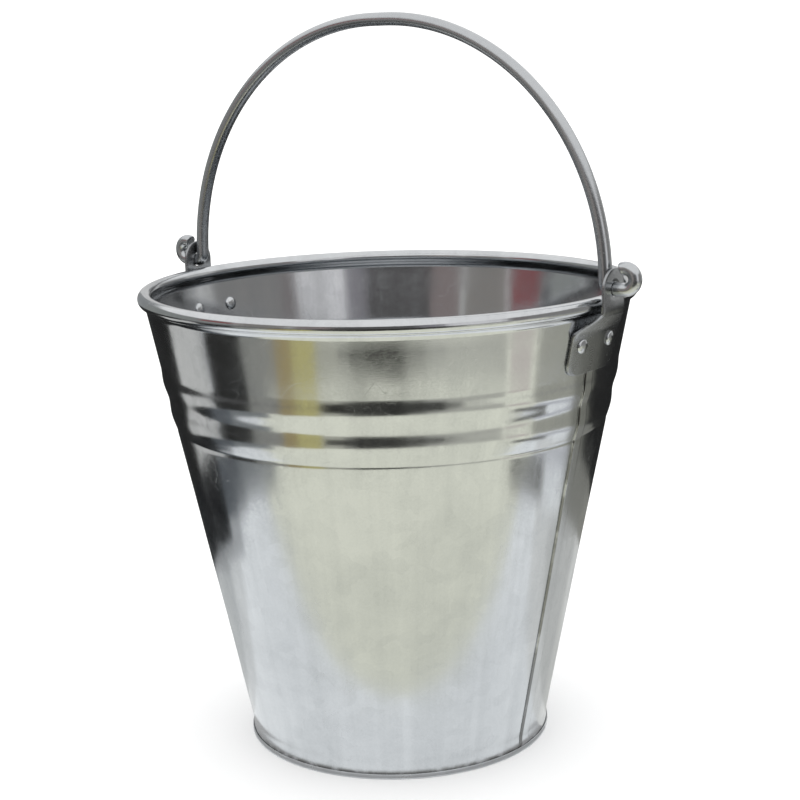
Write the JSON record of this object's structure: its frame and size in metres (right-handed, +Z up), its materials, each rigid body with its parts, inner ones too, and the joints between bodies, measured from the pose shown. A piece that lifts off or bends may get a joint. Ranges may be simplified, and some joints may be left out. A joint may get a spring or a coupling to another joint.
{
  "type": "florist bucket",
  "caption": "Tapered galvanised steel bucket with a rolled rim, swaged ribs and a swinging wire bail, for holding cut flowers in water.",
  "frame": {"origin": "centre of the base, on the floor that the bucket stands on", "axes": "+Z up along the bucket's axis; X along the bail's hinge line, through both ears; the side seam is on the +X side"},
  "size_m": [0.3204, 0.28, 0.4091],
  "materials": {
    "galvanised_sheet": "bright hot-dip galvanised, lightly streaked",
    "rim_wire_steel": "plain drawn wire",
    "galvanised_base": "galvanised, dull",
    "galvanised_ear": "galvanised, satin",
    "rivet_steel": "galvanised, satin",
    "bail_wire": "galvanised wire, satin"
  },
  "bodies": {
    "bucket": {"wall_shell": "galvanised_sheet", "rim_wire": "rim_wire_steel", "base_pan": "galvanised_base", "ear_left": "galvanised_ear", "ear_right": "galvanised_ear", "rivet_left_front": "rivet_steel", "rivet_left_rear": "rivet_steel", "rivet_right_front": "rivet_steel", "rivet_right_rear": "rivet_steel"},
    "bail": {"bail": "bail_wire"}
  },
  "joints": [
    {"name": "bail_hinge", "type": "hinge", "parent": "bucket", "child": "bail", "pos_m": [0, 0, 0.2662], "axis": [1, 0, 0], "range_deg": [-90, 90]}
  ]
}
